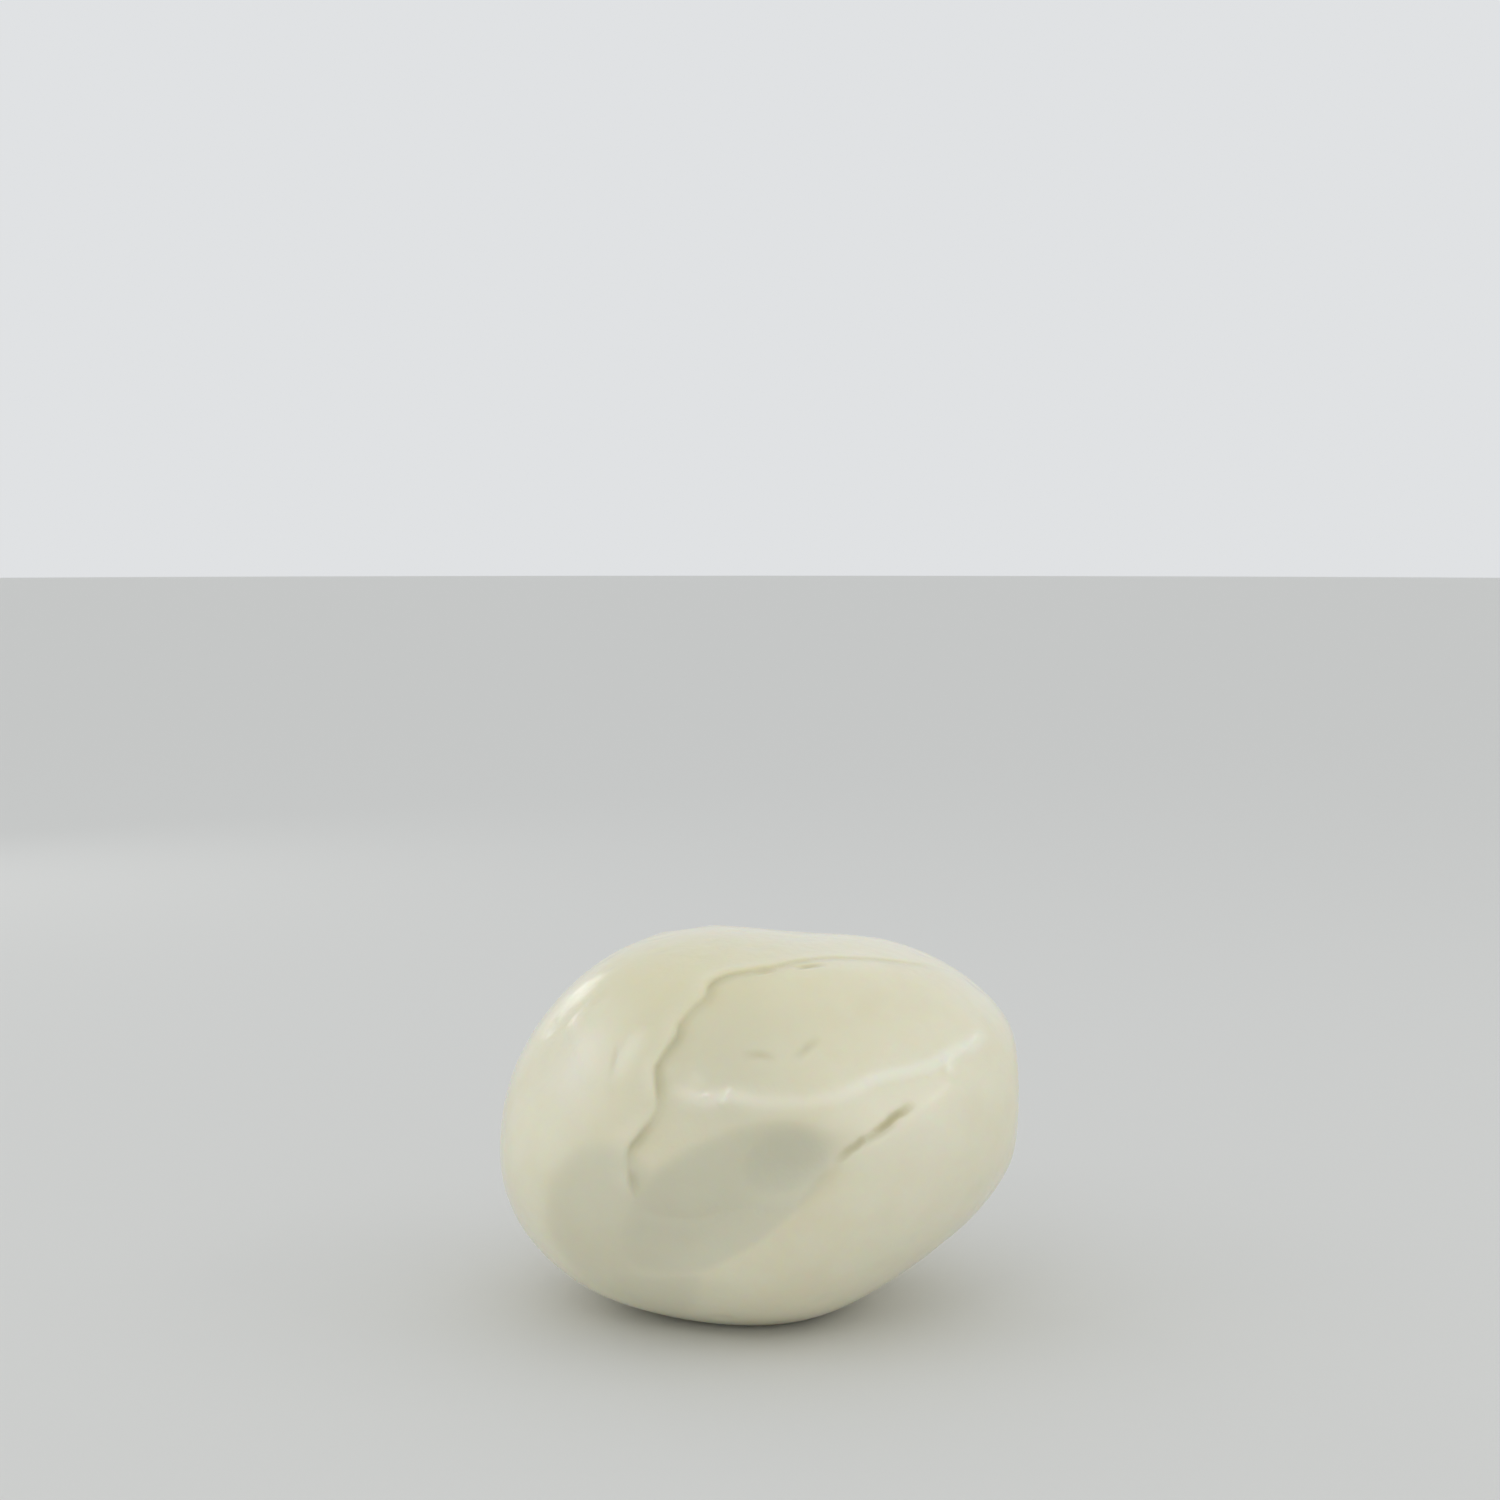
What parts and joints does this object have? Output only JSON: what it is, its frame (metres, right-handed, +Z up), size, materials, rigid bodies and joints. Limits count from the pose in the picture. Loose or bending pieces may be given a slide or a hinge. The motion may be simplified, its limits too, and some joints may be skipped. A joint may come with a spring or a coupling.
{
  "type": "mozzarella ball",
  "caption": "Whole oval ball of fresh mozzarella with a folded seam, soft hollows and a pinched end, resting on a small flat spot.",
  "frame": {"origin": "on the surface that the ball rests on, under the middle of its bounding box", "axes": "+X along the ball's longest extent, to the right as the front is seen; the front faces -Y; +Z up, along its shortest extent"},
  "size_m": [0.075, 0.0682, 0.0537],
  "materials": {
    "mozzarella": "moist smooth skin of fresh cheese, off-white and slightly see-through"
  },
  "bodies": {
    "root": {"mozzarella_ball": "mozzarella"}
  },
  "joints": []
}
